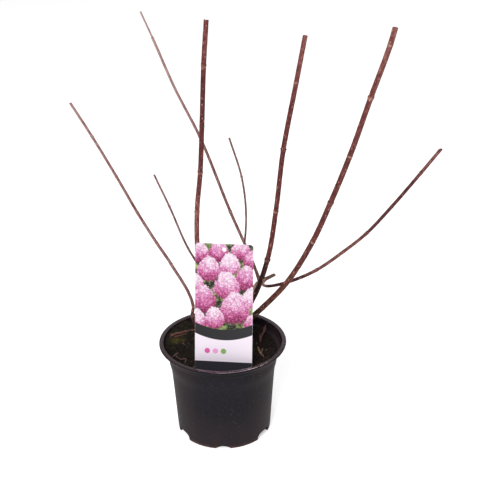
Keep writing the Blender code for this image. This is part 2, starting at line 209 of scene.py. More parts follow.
# --- canes, grown by the same rule as the solids ---
# foot: (x, y, z); base, tip: diameters
# growth: runs of (heading in degrees, ((internode length, lean from upright in degrees), ...))
# tones: (distance, tone) along the bark, from 0, dark, to 1, pale; the bark's own tone with painted shade in
# it, dark where a cane lies in shade, mostly near its foot
# grey, old: shares of grey bark, and of olive bark at the foot; last: diameter of a thinner tip
# faint, bright: joints that hardly show, or show well; swell, reach: swelling of the foot, how far it goes
# slant: rise of the cut end over a radius, highest towards the front
Cane = namedtuple("Cane", "name foot base tip growth tones grey last old faint bright swell reach slant",
                  defaults=(0.0, None, 0.15, (), (), 0.35, 13.0, 0.55))
STUB = "pruned_stub"
CANES = (
    Cane("cane_right_thick", (16, -5, 164), 8.0, 7.4,
         ((-18, ((68, 43), (61, 38), (80, 28), (68, 21.5), (79, 19.5), (90, 17), (80, 17.5), (24, 14))),),
         ((60, 0.0), (90, 0.22), (150, 0.3), (340, 0.36), (430, 0.44), (485, 0.55), (530, 0.6)),
         old=0.7, faint=(1,), bright=(5, 6)),
    Cane("cane_right_tall", (11, 0, 168.3), 7.7, 6.9,
         ((18, ((52, 41.6), (70, 21.5), (79, 10), (95, 7), (102, 11), (67, 11))),),
         ((90, 0.04), (115, 0.1), (135, 0.4), (250, 0.33), (370, 0.36), (440, 0.6)),
         bright=(2, 4)),
    Cane("cane_left_tall", (1, -2, 170), 7.4, 6.7,
         ((176, ((71, 24), (66, 5))), (200, ((61, -1),)), (290, ((73, 16), (75, 10), (93, 9), (69, 13)))),
         ((70, 0.5), (150, 0.64), (205, 0.62), (240, 0.38), (350, 0.26), (420, 0.26), (460, 0.46)),
         bright=(2, 5)),
    Cane("cane_left_long", (-3, -2, 150), 5.0, 3.6,
         ((195, ((48, 50), (19, 16), (16, -5), (79, 22.5), (42, 28), (57, 26.5), (65, 24.5),
                 (70, 25.5), (59, 27))),),
         ((0, 0.05), (60, 0.12), (80, 0.5), (100, 0.66), (300, 0.68), (440, 0.86)),
         grey=0.35),
    Cane("cane_back_short", (3, 7, 168), 3.2, 2.9,
         ((45, ((55, 33), (67, 12))), (30, ((59, 4.5),)), (160, ((58, 6), (62, 17)))),
         ((0, 0.56), (290, 0.6)),
         grey=0.55),
    Cane(STUB, (10, 6, 168), 8.6, 5.2,
         ((40, ((60, 46), (17, 54), (34, 83))),),
         # the stub's pale tones: its own pale bark, with painted light as well
         ((30, 0.95), (74, 1.0), (86, 0.95), (95, 0.5)),
         old=0.0),
    Cane("cane_back_tall", (58, 46, 221), 4.8, 3.75,
         ((154, ((34, 21), (84, 25), (122, 23), (81, 29), (79, 25), (41, 26))),),
         ((0, 0.8), (120, 0.68), (235, 0.62), (275, 0.8), (345, 0.96)),
         grey=0.35, last=2.6, faint=(3,)),
    Cane("cane_right_low", (60.7, 46.1, 221.9), 5.0, 5.3,
         ((12, ((5, 165), (4, 130), (7.3, 102))),
          (17, ((34, 85.7), (43, 74), (50, 61), (45, 56), (56, 46), (66, 43), (46, 42)))),
         ((0, 1.0), (8, 0.9), (15, 0.15), (69, 0.1), (89, 0.56), (163, 0.56), (203, 0.3), (293, 0.32),
          (333, 0.58)),
         grey=0.15, faint=(0, 1, 2), swell=-0.12, reach=30.0, slant=1.3),
    Cane("cane_left_short", (-31, 0, 273), 3.3, 3.0,
         ((150, ((31, 37), (68, 26), (52, 28))),),
         ((0, 0.42), (150, 0.76)),
         grey=0.5),
)
BARK_STEP = 1.4        # distance between rings of bark vertices
BARK_SIDES = 28
KNOT_SWELL = 0.08      # swelling of the radius at a joint, and how far it reaches
KNOT_REACH = 2.6
SCAR_RING_SWELL = 0.07     # the sharp ring just below a joint
SCAR_RING_REACH = 0.55
FAINT = 0.05           # strength of a joint that hardly shows
TIP_BLEND = 3.0        # distance over which a thinner tip sets in past the last joint
# waves of the bark: (how many go round, share of the radius), and the share of those along the cane
RIDGES = ((6, 0.014), (11, 0.010))
RIPPLE = 0.012
# the web of wood in the stub's fork: its share of the radius all round and on its side, its place and
# reach along the stub, and its side
FORK_SWELL = 0.2
FORK_WEB = 1.0
FORK_PLACE = 86.0
FORK_REACH = 5.5
FORK_SIDE = (0.6, 0.1, -0.79)
CUT_DEPTH = 6.0        # how far from the tip the slant of the cut starts
# the cut end, ring by ring towards the pith: (share of the radius, rise)
CUT_RINGS = ((0.93, 0.12), (0.84, 0.02), (0.32, -0.05))
PITH_DROP = 0.15
PORE_SPACING = 4.2     # distance along a cane from one pale pore to the next
PORE_START = 14.0
PORE_SIZE = (0.7, 1.2)
PORE_STRETCH = (1.0, 2.1)
PORE_RISE = 0.17
SCAR_TURN = 0.85       # half width in radians
SCAR_RISE = 0.30
SCAR_STRENGTH = 0.3    # a joint fainter than this has buds, but no scars
BUD_SIZE = (0.52, 0.12)    # on a thin cane, and growth with the cane's radius
BUD_LENGTH = 2.7       # over its size

# --- litter on the ground: stations are (x, y, rise above the ground) ---
# twigs and root ends: (diameter at the start, diameter at the end, stations)
RED_TWIGS = (
    (4.0, 3.0, ((-79.5, 22.5, 0.9), (-68.5, 26.5, 1.0), (-56.0, 31.5, 1.2), (-43.0, 38.0, 1.6))),
    (2.6, 1.7, ((-80.5, 16.5, 0.8), (-68.0, 21.0, 1.1), (-55.0, 26.5, 0.9))),
    (2.0, 1.3, ((-61.0, 3.5, 0.4), (-57.0, -1.0, 0.9), (-52.0, -7.0, 0.5))),
    (1.1, 0.8, ((-64.0, -38.0, 0.4), (-57.0, -44.0, 0.4), (-50.0, -47.0, 0.4))),
    (1.3, 0.9, ((40.0, -52.0, 0.5), (50.0, -45.0, 0.5), (58.0, -40.0, 0.5))),
    (1.4, 1.0, ((22.0, 55.0, 0.6), (34.0, 51.0, 0.7), (44.0, 44.0, 0.6))),
    (1.7, 1.2, ((-22.0, 66.0, 0.7), (-14.0, 56.0, 0.9), (-8.0, 44.0, 0.8))),
)
PALE_ROOTS = (
    (1.1, 0.9, ((-75.0, -24.0, 0.6), (-71.0, -20.5, 1.2), (-66.5, -17.0, 0.6))),
    (1.2, 1.0, ((-70.5, -22.5, 1.0), (-63.0, -27.5, 0.8), (-55.5, -25.0, 0.9), (-56.5, -34.0, 0.5))),
    (0.9, 0.7, ((-44.0, -46.0, 0.3), (-38.0, -50.0, 0.5), (-33.0, -56.0, 0.3))),
    (0.9, 0.7, ((30.0, -46.0, 0.4), (36.0, -50.0, 0.5), (42.0, -52.0, 0.4))),
)
# bark chips and dead leaves: (width, curl, stations)
TAN_CHIPS = (
    (3.6, 0.9, ((53.0, 7.5, 0.9), (55.5, -6.0, 1.3), (61.0, -22.0, 0.9))),
    (2.4, 0.9, ((60.5, 1.5, 1.6), (58.5, -5.0, 1.5), (57.5, -12.0, 0.9))),
    (3.2, 0.9, ((30.0, 30.0, 0.9), (36.0, 28.0, 1.2), (41.0, 24.0, 0.9))),
    (3.0, 0.9, ((-30.0, -34.0, 0.9), (-26.0, -37.0, 1.2), (-22.0, -41.0, 0.9))),
)
DEAD_LEAVES = (
    (6.4, 1.3, ((57.5, 22.0, 0.7), (58.0, 34.0, 1.6), (63.0, 44.0, 3.4), (66.5, 56.5, 7.5))),
    (7.0, 1.3, ((20.0, 64.0, 0.9), (30.0, 62.0, 1.6), (40.0, 58.0, 2.4))),
    (6.0, 1.3, ((-8.0, -24.0, 0.9), (-1.0, -30.0, 1.4), (6.0, -34.0, 1.6))),
)
TWIG_SIDES = 12
TWIG_STEPS = 10            # from one station to the next
SHEET_STEPS = 7
SHEET_COLUMNS = 8
SHEET_THICKNESS = 0.35


# --- meshes ---

def new_object(name, data):
    """Return a new object that is linked to the scene."""
    made = bpy.data.objects.new(name, data)
    bpy.context.scene.collection.objects.link(made)
    return made


class MeshData:
    """The vertices in mm, the faces and the faces' material numbers of a mesh."""

    def __init__(self, verts=(), faces=()):
        self.verts = []
        self.faces = []
        self.indices = []
        self.add(verts, faces)

    def add(self, verts, faces, index=0):
        """Add a form whose faces count from its own first vertex."""
        first = len(self.verts)
        self.verts.extend(verts)
        self.faces.extend(tuple(first + i for i in face) for face in faces)
        self.indices.extend([index] * len(faces))

    def make(self, name, materials=(), smooth=False):
        """Return an object with this mesh."""
        mesh = bpy.data.meshes.new(name)
        mesh.from_pydata((np.asarray(self.verts, float) * MM).tolist(), [], self.faces)
        for material in materials:
            mesh.materials.append(material)
        mesh.polygons.foreach_set("material_index", self.indices)
        mesh.polygons.foreach_set("use_smooth", [smooth] * len(mesh.polygons))
        return new_object(name, mesh)


def make_piece(name, data, materials, slot, smooth=True, **attributes):
    """Make a piece that rides on the plant, with point attributes."""
    piece = data.make(name, materials, smooth)
    for key, values in attributes.items():
        is_vector = values.ndim == 2
        layer = piece.data.attributes.new(key, "FLOAT_VECTOR" if is_vector else "FLOAT", "POINT")
        layer.data.foreach_set("vector" if is_vector else "value", values.astype(np.float32).ravel())
    piece.data.validate()
    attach(piece, BODY)
    return piece


def ring(radius, height, sides, y=0.0):
    """Return points round an upright axis."""
    turns = [math.tau * k / sides for k in range(sides)]
    return [(radius * math.cos(turn), y + radius * math.sin(turn), height) for turn in turns]


def band(rows, sides, downwards=False):
    """Return the quads between closed rows of vertices that follow each other up or down."""
    quads = []
    for row in range(rows - 1):
        for k in range(sides):
            a = row * sides + k
            b = row * sides + (k + 1) % sides
            quads.append((a, a + sides, b + sides, b) if downwards else (a, b, b + sides, a + sides))
    return quads


def tube_faces(rows, sides):
    """Return the quads between rows of vertices and the two end faces."""
    last = (rows - 1) * sides
    return [*band(rows, sides), tuple(reversed(range(sides))), tuple(range(last, last + sides))]


def fan(centre, first, sides):
    """Return the triangles from a vertex to a row of vertices."""
    return [(centre, first + k, first + (k + 1) % sides) for k in range(sides)]


def lathe(profile, sides):
    """Turn a (radius, height) profile, top to bottom, into a closed solid; its ends are on the axis."""
    verts = [point for radius, height in profile[1:-1] for point in ring(radius, height, sides)]
    top = len(verts)
    verts += [(0.0, 0.0, profile[0][1]), (0.0, 0.0, profile[-1][1])]
    bottom_fan = [face[::-1] for face in fan(top + 1, top - sides, sides)]
    return verts, [*band(len(profile) - 2, sides, True), *fan(top, 0, sides), *bottom_fan]


def directions(points):
    """Return the direction of a path at each of its points."""
    return [(after - before).normalized()
            for before, after in zip([points[0], *points], [*points[1:], points[-1]])]


def steady_normals(tangents):
    """Return a normal for each tangent, so that they don't twist round the path."""
    normals = []
    normal = tangents[0].orthogonal().normalized()
    for tangent in tangents:
        normal = (normal - tangent * normal.dot(tangent)).normalized()
        normals.append(normal)
    return normals


def sweep(points, radii, sides):
    """Return the verts and faces of a closed tube through points."""
    tangents = directions(points)
    verts = []
    for point, tangent, normal, radius in zip(points, tangents, steady_normals(tangents), radii):
        other = tangent.cross(normal)
        verts += [point + (normal * across + other * up) * radius for across, up, _ in ring(1.0, 0.0, sides)]
    return verts, tube_faces(len(points), sides)


def smooth_curve(corners, ways, counts):
    """Return points on a smooth curve through corners, with so many steps to each stretch."""
    points = [corners[0]]
    for start, end, leave, arrive, count in zip(corners, corners[1:], ways, ways[1:], counts):
        span = (end - start).length
        for step in range(1, count + 1):
            t = step / count
            a = 2 * t ** 3 - 3 * t ** 2 + 1
            b = t ** 3 - 2 * t ** 2 + t
            c = 3 * t ** 2 - 2 * t ** 3
            d = t ** 3 - t ** 2
            points.append(start * a + leave * (span * b) + end * c + arrive * (span * d))
    return points


def fractal(x, y, z, octaves=3):
    """Return smooth noise from about -1 to 1."""
    return noise.fractal(Vector((x, y, z)), 1.0, 2.0, octaves)


def bell(away, reach):
    """Return 1 at no distance, falling to nothing past the reach."""
    return np.exp(-(away / reach) ** 2)


# --- shader nodes ---

def srgb(red, green, blue):
    """Return a linear colour with alpha from 8-bit sRGB values."""
    shares = [value / 255 for value in (red, green, blue)]
    return (*(s / 12.92 if s <= 0.04045 else ((s + 0.055) / 1.055) ** 2.4 for s in shares), 1.0)


class Wire:
    """What comes out of a shader node, ready for arithmetic."""

    def __init__(self, make, socket):
        self.make = make
        self.socket = socket

    def __add__(self, other):
        return self.make.calc("ADD", self, other)

    def __sub__(self, other):
        return self.make.calc("SUBTRACT", self, other)

    def __mul__(self, other):
        return self.make.calc("MULTIPLY", self, other)

    def __truediv__(self, other):
        return self.make.calc("DIVIDE", self, other)

    def span(self, low, high, out_low=0.0, out_high=1.0):
        """Return the place between low and high, clamped."""
        return self.make.add("MapRange", "Result", Value=self, From_Min=low, From_Max=high,
                             To_Min=out_low, To_Max=out_high)


class Shader:
    """A Principled material and short ways to add nodes to it."""

    def __init__(self, name, roughness=0.6, **constants):
        self.material = bpy.data.materials.new(name)
        self.material.use_nodes = True
        self.tree = self.material.node_tree
        self.surface = self.tree.nodes["Principled BSDF"]
        for key, value in {"Roughness": roughness, **constants}.items():
            self.surface.inputs[key.replace("_", " ")].default_value = value

    def put(self, socket, value):
        """Link a wire to a socket, or set its constant value, such as an 8-bit colour."""
        if isinstance(value, Wire):
            self.tree.links.new(value.socket, socket)
        elif socket.type == "RGBA" and len(value) == 3:
            socket.default_value = srgb(*value)
        else:
            socket.default_value = value

    def add(self, kind, output=None, **values):
        """Add a node and return it or one output; capitalised values are inputs, others are settings."""
        node = self.tree.nodes.new("ShaderNode" + kind)
        for key, value in values.items():
            if key[0].isupper():
                self.put(node.inputs[key.replace("_", " ")], value)
            else:
                setattr(node, key, value)
        return node if output is None else Wire(self, node.outputs[output])

    def place(self, scale=(1.0, 1.0, 1.0), attribute=None):
        """Return object coordinates, or a vector attribute, scaled along each axis."""
        if attribute is None:
            source = self.add("TexCoord", "Object")
        else:
            source = self.add("Attribute", "Vector", attribute_name=attribute)
        return self.add("Mapping", "Vector", Vector=source, Scale=scale)

    def split(self, vector):
        """Return the three parts of a vector."""
        return [Wire(self, output) for output in self.add("SeparateXYZ", Vector=vector).outputs]

    def value(self, attribute):
        """Return a number attribute."""
        return self.add("Attribute", "Fac", attribute_name=attribute)

    def noise(self, where, scale, detail=3.0, roughness=0.5):
        """Return noise from 0 to 1."""
        return self.add("TexNoise", "Fac", Vector=where, Scale=scale, Detail=detail, Roughness=roughness)

    def cells(self, where, scale, dimensions="3D"):
        """Return the distance, the centre and the random numbers of the nearest of scattered cells."""
        node = self.add("TexVoronoi", voronoi_dimensions=dimensions, Vector=where, Scale=scale)
        parts = self.add("SeparateColor", Color=Wire(self, node.outputs["Color"]))
        distance, centre = (Wire(self, node.outputs[key]) for key in ("Distance", "Position"))
        return distance, centre, [Wire(self, output) for output in parts.outputs]

    def speckle(self, where, scale, chosen_share, radius):
        """Return a mask of small scattered specks."""
        distance, _, picks = self.cells(where, scale)
        return distance.span(radius, radius * 0.4) * self.calc("GREATER_THAN", picks[0], 1.0 - chosen_share)

    def calc(self, operation, *values):
        """Return one arithmetic step."""
        node = self.add("Math", operation=operation)
        for socket, value in zip(node.inputs, values):
            self.put(socket, value)
        return Wire(self, node.outputs[0])

    def length(self, x, y):
        """Return the length of (x, y)."""
        return self.calc("SQRT", x * x + y * y)

    def mix(self, share, first, second, blend="MIX"):
        """Return a mix of two colours."""
        node = self.add("Mix", data_type="RGBA", blend_type=blend, Factor=share)
        self.put(node.inputs[6], first)
        self.put(node.inputs[7], second)
        return Wire(self, node.outputs[2])

    def paint(self, colour, *layers):
        """Return a colour under layers of (share, colour, strength)."""
        for share, tint, strength in layers:
            colour = self.mix(share * strength, colour, tint)
        return colour

    def ramp(self, value, *stops):
        """Return the colour of a value on a ramp of (place, colour) stops."""
        node = self.add("ValToRGB", Fac=value)
        elements = node.color_ramp.elements
        while len(elements) < len(stops):
            elements.new(0.5)
        for element, (place, colour) in zip(elements, stops):
            element.position = place
            element.color = srgb(*colour)
        return Wire(self, node.outputs["Color"])

    def bump(self, height, depth):
        """Give the surface a relief of the given depth."""
        normal = self.add("Bump", "Normal", Height=height, Strength=1.0, Distance=depth * MM)
        self.put(self.surface.inputs["Normal"], normal)

    def finish(self, colour, roughness=None):
        """Connect the colour and, if given, the roughness, and return the material."""
        self.put(self.surface.inputs["Base Color"], colour)
        if roughness is not None:
            self.put(self.surface.inputs["Roughness"], roughness)
        return self.material


# --- materials ---

def wall_material():
    """Near-black moulded plastic: mottled, dusty, lighter grey towards the bottom, with soil at its foot;
    painted shade darkens the collar, and a painted warm sheen lightens the left and right flanks and the
    collar's flanks.
    """
    make = Shader("pot_plastic", Specular_IOR_Level=0.09)
    where = make.place()
    side, _, height = make.split(where)
    cloud = make.noise(where, 330.0, 3.0, 0.6)
    # the warm noise and the flank mask give a painted warm sheen on the wall's left and right flanks
    warm_sheen = make.noise(where, 16.0, 3.0, 0.55).span(0.35, 0.6, 0.4, 0.9)
    flank = make.calc("ABSOLUTE", side).span(0.035, 0.075)
    # painted shade darkens the collar, and painted sheen lightens the collar's flanks
    collar = height.span(0.128, 0.134)
    dirt_cloud = make.noise(where, 60.0, 6.0, 0.7)
    dirt = dirt_cloud.span(0.46, 0.7) * height.span(0.05, 0.0)
    foot = height.span(0.005, 0.001) * dirt_cloud.span(0.35, 0.55)
    cluster = make.noise(where, 40.0, 2.0).span(0.4, 0.62)
    colour = make.mix(cloud.span(0.3, 0.7), (17, 15, 20), (31, 28, 34))
    colour = make.paint(
        colour,
        # painted warm sheen on the flanks
        (warm_sheen * flank, (42, 30, 31), 1.0),
        # painted shade on the collar
        (collar, (10, 9, 11), 0.45),
        # painted sheen on the collar's flanks
        (collar * flank, (44, 35, 38), 0.9),
        # lighter grey towards the bottom
        (height.span(0.07, 0.005), (44, 37, 40), 0.62),
        (dirt, (66, 42, 38), 0.35),
        (foot, (92, 62, 54), 0.8),
        (make.speckle(where, 260.0, 0.3, 0.3) * cluster, (104, 98, 102), 0.22),
        (make.speckle(where, 150.0, 0.05, 0.16) * cluster, (112, 102, 98), 0.5),
    )
    make.bump(make.noise(where, 900.0, 2.0) * 0.25 + dirt * 0.6, 0.12)
    return make.finish(colour, cloud.span(0.2, 0.8, 0.5, 0.66))


def lip_material():
    """The lip of the pot: the same plastic, rubbed smooth by hands, with scuffs that break its shine."""
    make = Shader("pot_lip", IOR=1.75, Specular_Tint=LIP_TINT, Specular_IOR_Level=1.0)
    where = make.place()
    scuff = make.noise(where, 120.0, 4.0, 0.65)
    grit = make.speckle(where, 190.0, 0.12, 0.2)
    colour = make.mix(scuff.span(0.35, 0.7), (22, 9, 14), (36, 22, 29))
    make.bump(scuff + grit * 0.5, 0.08)
    return make.finish(make.paint(colour, (grit, (112, 96, 88), 0.7)), scuff.span(0.45, 0.7, 0.05, 0.36))


def soil_material(name, dark, light, scale=140.0):
    """Rough peat between two colours."""
    make = Shader(name, 0.95, Specular_IOR_Level=0.2)
    where = make.place()
    make.bump(make.noise(where, scale * 6, 3.0, 0.7), 0.5)
    return make.finish(make.mix(make.noise(where, scale, 5.0, 0.65).span(0.32, 0.7), dark, light))


def plain_material(name, colour, variation, scale, roughness=0.85, relief=0.15):
    """A small natural piece: a base colour that drifts towards a second one."""
    make = Shader(name, roughness)
    drift = make.noise(make.place(), scale, 4.0, 0.6)
    make.bump(drift, relief)
    return make.finish(make.mix(drift.span(0.35, 0.7), colour, variation))


def bark_material(name, knot_colour, *stops):
    """Hydrangea bark: a tone that the cane gives, with painted shade in it, broken by streaks and blotches,
    and pale joints.
    """
    make = Shader(name, 0.5, Specular_IOR_Level=0.15)
    streak, streaks, blotch, lichen = (
        make.noise(make.place(scale, "bark"), fineness, detail, roughness)
        for scale, fineness, detail, roughness in (
            ((0.9, 0.9, 0.07), 1.6, 4.0, 0.65), ((0.42, 0.42, 0.09), 1.0, 3.0, 0.6),
            ((0.33, 0.33, 0.2), 1.0, 3.0, 0.7), ((0.4, 0.4, 0.14), 1.0, 2.0, 0.6)))
    # the tone attribute holds painted shade where a cane lies in shade
    tone = make.value("tone") + streak.span(0.25, 0.75, -0.24, 0.24)
    tone = tone + streaks.span(0.28, 0.72, -0.22, 0.22) + blotch.span(0.3, 0.7, 0.14, -0.14)
    grey_tone = make.ramp(tone, (0.0, (24, 18, 19)), (0.5, (84, 68, 68)), (1.0, (150, 132, 132)))
    foot = make.split(make.place(attribute="bark"))[2].span(230.0, 110.0, 0.12, 0.7)
    colour = make.paint(
        make.mix(make.value("grey"), make.ramp(tone, *stops), grey_tone),
        (make.value("knot") * blotch.span(0.3, 0.6, 1.0, 0.35), knot_colour, 1.0),
        (lichen.span(0.46, 0.62) * foot * make.value("old"), (96, 68, 44), 1.0),
    )
    make.bump(streak * 0.7 + streaks * 0.7, 0.3)
    return make.finish(colour, streak.span(0.2, 0.8, 0.66, 0.5))


def old_wood_material():
    """Fibrous grey-brown bark of the woody base."""
    make = Shader("old_wood", 0.85)
    fibre = make.noise(make.place((1.0, 1.0, 0.25)), 420.0, 5.0, 0.7)
    patch = make.noise(make.place(), 90.0, 3.0)
    make.bump(fibre, 0.9)
    colour = make.mix(fibre.span(0.3, 0.7), (58, 40, 30), (142, 112, 86))
    return make.finish(make.paint(colour, (patch.span(0.5, 0.75), (88, 84, 62), 0.55)))


def print_material():
    """A printed picture of pink flower heads among leaves, over plain panels."""
    make = Shader("label_print", 0.3, Specular_IOR_Level=0.2)
    x, y, _ = make.split(make.place())
    flat = make.add("CombineXYZ", "Vector", X=x, Y=y)
    leaves = make.ramp(make.noise(flat, 55.0, 3.0, 0.6), (0.38, (20, 20, 24)), (0.48, (44, 52, 34)),
                       (0.56, (112, 136, 72)), (0.68, (206, 214, 162)))
    veins = make.noise(flat, 260.0, 2.0, 0.5)
    picture = make.paint(leaves, (veins.span(0.5, 0.7), (176, 186, 130), 0.35))
    # florets of four petals
    _, centre, picks = make.cells(flat, 1.0 / (FLORET * MM), "2D")
    centre_x, centre_y, _ = make.split(centre)
    across = x - centre_x
    up = y - centre_y
    reach = make.length(across, up)
    angle = make.calc("ARCTAN2", up, across) + picks[0] * 6.0
    lobes = make.calc("ABSOLUTE", make.calc("COSINE", angle * 2.0))
    petal_edge = lobes * (0.30 * FLORET * MM) + 0.26 * FLORET * MM - reach
    petal = petal_edge.span(0.0, 0.35 * MM) * make.noise(flat, 600.0, 2.0).span(0.3, 0.5, 0.6, 1.0)
    eye = reach.span(0.7 * MM, 0.35 * MM)
    wobble = (make.noise(flat, 130.0) - 0.5) * 0.5 + (make.noise(flat, 420.0) - 0.5) * 0.4
    flicker = (make.noise(flat, 480.0, 4.0, 0.75) - 0.5) * 2.2 + picks[1] * 0.34
    for head_x, head_y, radius, paleness in HEADS:
        rise = (y - head_y * MM) / (radius * HEAD_STRETCH * MM)
        breadth = make.calc("MULTIPLY_ADD", rise, -HEAD_TAPER * radius * MM, radius * MM)
        distance = make.length((x - head_x * MM) / breadth, rise) + wobble
        # paler towards the top of each head, deeper pink towards its foot and rim
        light = rise * 0.62 + flicker - make.calc("MULTIPLY_ADD", distance, 0.25, -paleness)
        pink = make.ramp(light.span(-0.7, 0.62), *PINKS)
        bloom = make.mix(petal, make.mix(0.24, pink, (104, 30, 72)), pink)
        bloom = make.paint(bloom, (eye, (250, 226, 190), 0.25))
        picture = make.mix(distance.span(1.0, 0.93), picture, bloom)
    # the plain parts below the picture: a curved dark band, a pale panel with dots and a dark strip
    edge = PRINT_EDGE * MM
    below = y - x * x * BAND_CURVE - PICTURE_FOOT * MM
    dark = make.mix(x.span(-0.04, 0.04), (38, 37, 39), (46, 45, 47))
    colour = make.mix(below.span(edge, -edge), picture, dark)
    colour = make.mix((below + DARK_BAND * MM).span(edge, -edge), colour, (243, 235, 244))
    colour = make.mix((y - LABEL_BASE * MM).span(edge, -edge), colour, (48, 48, 54))
    for dot_x, dot_colour in DOTS:
        distance = make.length(x - dot_x * MM, y - DOT_HEIGHT * MM)
        colour = make.mix(distance.span(DOT_RADII[0] * MM, DOT_RADII[1] * MM), colour, dot_colour)
    return make.finish(make.mix(1.0, colour, PRINT_INK, "MULTIPLY"))


# --- pot ---

def pot_solid(name, profile, rounds=2):
    """Turn a profile with its corners cut into a solid."""
    for _ in range(rounds):
        cut = [profile[0]]
        for (r0, z0), (r1, z1) in zip(profile, profile[1:]):
            for share in (CORNER_CUT, 1 - CORNER_CUT):
                cut.append(((1 - share) * r0 + share * r1, (1 - share) * z0 + share * z1))
        profile = [*cut, profile[-1]]
    closed = [(0.0, profile[0][1]), *profile, (0.0, profile[-1][1])]
    return MeshData(*lathe(closed, POT_SIDES)).make(name)


def squared(share, squareness):
    """Move a unit circle's coordinate out, so that the circle becomes a squarer outline."""
    share = round(share, 6)
    return math.copysign(abs(share) ** (2 / squareness), share)


def pocket_ring(name, grow):
    """Make the ring of drainage pockets, grown by the given mm."""
    data = MeshData()
    for index in range(POCKET_COUNT):
        width, height, squareness = FRONT_POCKET if index % 3 == 0 else SIDE_POCKET
        azimuth = math.radians(POCKET_AZIMUTH + 360 * index / POCKET_COUNT)
        verts = []
        for radius in (POCKET_INNER - grow, POCKET_OUTER):
            for across, up, _ in ring(1.0, 0.0, POCKET_SIDES):
                side = (width / 2 + grow) * squared(across, squareness)
                verts.append((radius * math.cos(azimuth) - side * math.sin(azimuth),
                              radius * math.sin(azimuth) + side * math.cos(azimuth),
                              (height + grow) * squared(up, squareness)))
        data.add(verts, tube_faces(2, POCKET_SIDES))
    return data.make(name)


def subtract(solid, cutter):
    """Cut one solid out of another and remove the cutter."""
    boolean = solid.modifiers.new("cut", "BOOLEAN")
    boolean.object = cutter
    boolean.operation = "DIFFERENCE"
    boolean.solver = "EXACT"
    bpy.context.view_layer.update()
    depsgraph = bpy.context.evaluated_depsgraph_get()
    mesh = bpy.data.meshes.new_from_object(solid.evaluated_get(depsgraph))
    solid.modifiers.clear()
    solid.data = mesh
    bpy.data.objects.remove(cutter)


def build_pot():
    """Make the pot: a lathed wall with a glossy rolled lip, and pressed-in drainage pockets."""
    pot = pot_solid("pot_body", POT_OUTSIDE)
    cavity = pot_solid("cavity", POT_INSIDE)
    subtract(cavity, pocket_ring("pocket_walls", WALL))
    subtract(pot, cavity)
    subtract(pot, pocket_ring("pockets", 0.0))
    mesh = pot.data
    mesh.materials.clear()
    mesh.materials.append(wall_material())
    mesh.materials.append(lip_material())
    for face in mesh.polygons:
        outwards = Vector((*face.center.xy, 0)).normalized()
        face.material_index = face.center.z > LIP_HEIGHT * MM and face.normal.dot(outwards) < LIP_TILT
    mesh.shade_smooth()
    mesh.set_sharp_from_angle(angle=math.radians(SHARP_EDGE))
    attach(pot, BODY)
    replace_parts(pot, "pot")


# --- soil ---

def pot_inside(height):
    """Return the pot's inner radius at a height."""
    radii, heights = zip(*reversed(POT_INSIDE))
    return float(np.interp(height, heights, radii))


def ground_noise(x, y, layers):
    """Return the sum of layers of noise at a place."""
    return sum(rise * fractal(x * fine, y * fine, level, octaves) for rise, fine, level, octaves in layers)


def soil_height(x, y):
    """Return the height of the soil's surface at a place, without the bank."""
    rise = SOIL_WALL_RISE * (math.hypot(x, y) / SOIL_REACH) ** 4
    return SOIL_TOP - SOIL_SINK + rise + ground_noise(x, y, SOIL_RELIEF)


def bank_share(x, y):
    """Return 1 in the middle of the bank, 0 at its edge and less outside it."""
    across = (x - MOSS_CENTRE[0]) / MOSS_HALF_SIZE[0]
    lengthwise = (y - MOSS_CENTRE[1]) / MOSS_HALF_SIZE[1]
    return 1.0 - across ** 2 - lengthwise ** 2


def bank_height(x, y):
    """Return the height of the bank's surface at a place."""
    lift = (MOSS_RISE + MOSS_SINK) * math.sqrt(max(0.0, bank_share(x, y)))
    return SOIL_TOP - MOSS_SINK + lift + ground_noise(x, y, BANK_RELIEF)


def on_ground(x, y, rise):
    """Return a point above the ground, soil or bank."""
    return Vector((x, y, max(soil_height(x, y), bank_height(x, y)) + rise))


def moss_glow(x, y):
    """Return how much fresher the moss is at a place, from 0 to about 1."""
    return sum(strength * bell(math.hypot(x - spot_x, y - spot_y), reach)
               for spot_x, spot_y, reach, strength in FRESH_MOSS)


def moss_share(x, y):
    """Return how densely moss grows at a place, from 0 to 1."""
    patches = fractal(x * 0.075, y * 0.075, 20.0) + 0.4 * fractal(x * 0.2, y * 0.2, 26.0)
    inside = min(1.0, max(0.0, 2.5 * bank_share(x, y) + 0.25))
    return max(0.0, min(1.0, (0.08 + patches + moss_glow(x, y)) * 2.4)) * inside


def wall_reach(turn, height_at):
    """Return how far the ground reaches in a direction before it meets the pot's wall."""
    reach = SOIL_REACH
    for _ in range(4):
        reach = pot_inside(height_at(reach * math.cos(turn), reach * math.sin(turn))) + WALL_OVERLAP
    return reach


def build_soil_body():
    """Make the filling of the pot with its uneven top."""
    spokes = [(x, y, wall_reach(math.tau * k / SOIL_SPOKES, soil_height))
              for k, (x, y, _) in enumerate(ring(1.0, 0.0, SOIL_SPOKES))]
    verts = []
    for row in range(1, SOIL_RINGS + 1):
        for across, lengthwise, reach in spokes:
            x = reach * row / SOIL_RINGS * across
            y = reach * row / SOIL_RINGS * lengthwise
            verts.append((x, y, soil_height(x, y)))
    flank = [(pot_inside(height) + 0.2, height) for height in SOIL_FLANK_LEVELS]
    flank += [(SOIL_FOOT_RADIUS, SOIL_FOOT_HEIGHT), (SOIL_FOOT_RADIUS, SOIL_BOTTOM)]
    for radius, height in flank:
        verts += ring(radius, height, SOIL_SPOKES)
    middle = len(verts)
    verts.append((0.0, 0.0, soil_height(0.0, 0.0)))
    faces = [*band(SOIL_RINGS + len(flank), SOIL_SPOKES, True), *fan(middle, 0, SOIL_SPOKES),
             tuple(reversed(range(middle - SOIL_SPOKES, middle)))]
    peat = soil_material("peat", (7, 4, 3), (27, 18, 13))
    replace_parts(make_piece("soil_body", MeshData(verts, faces), [peat], "soil"), "soil")


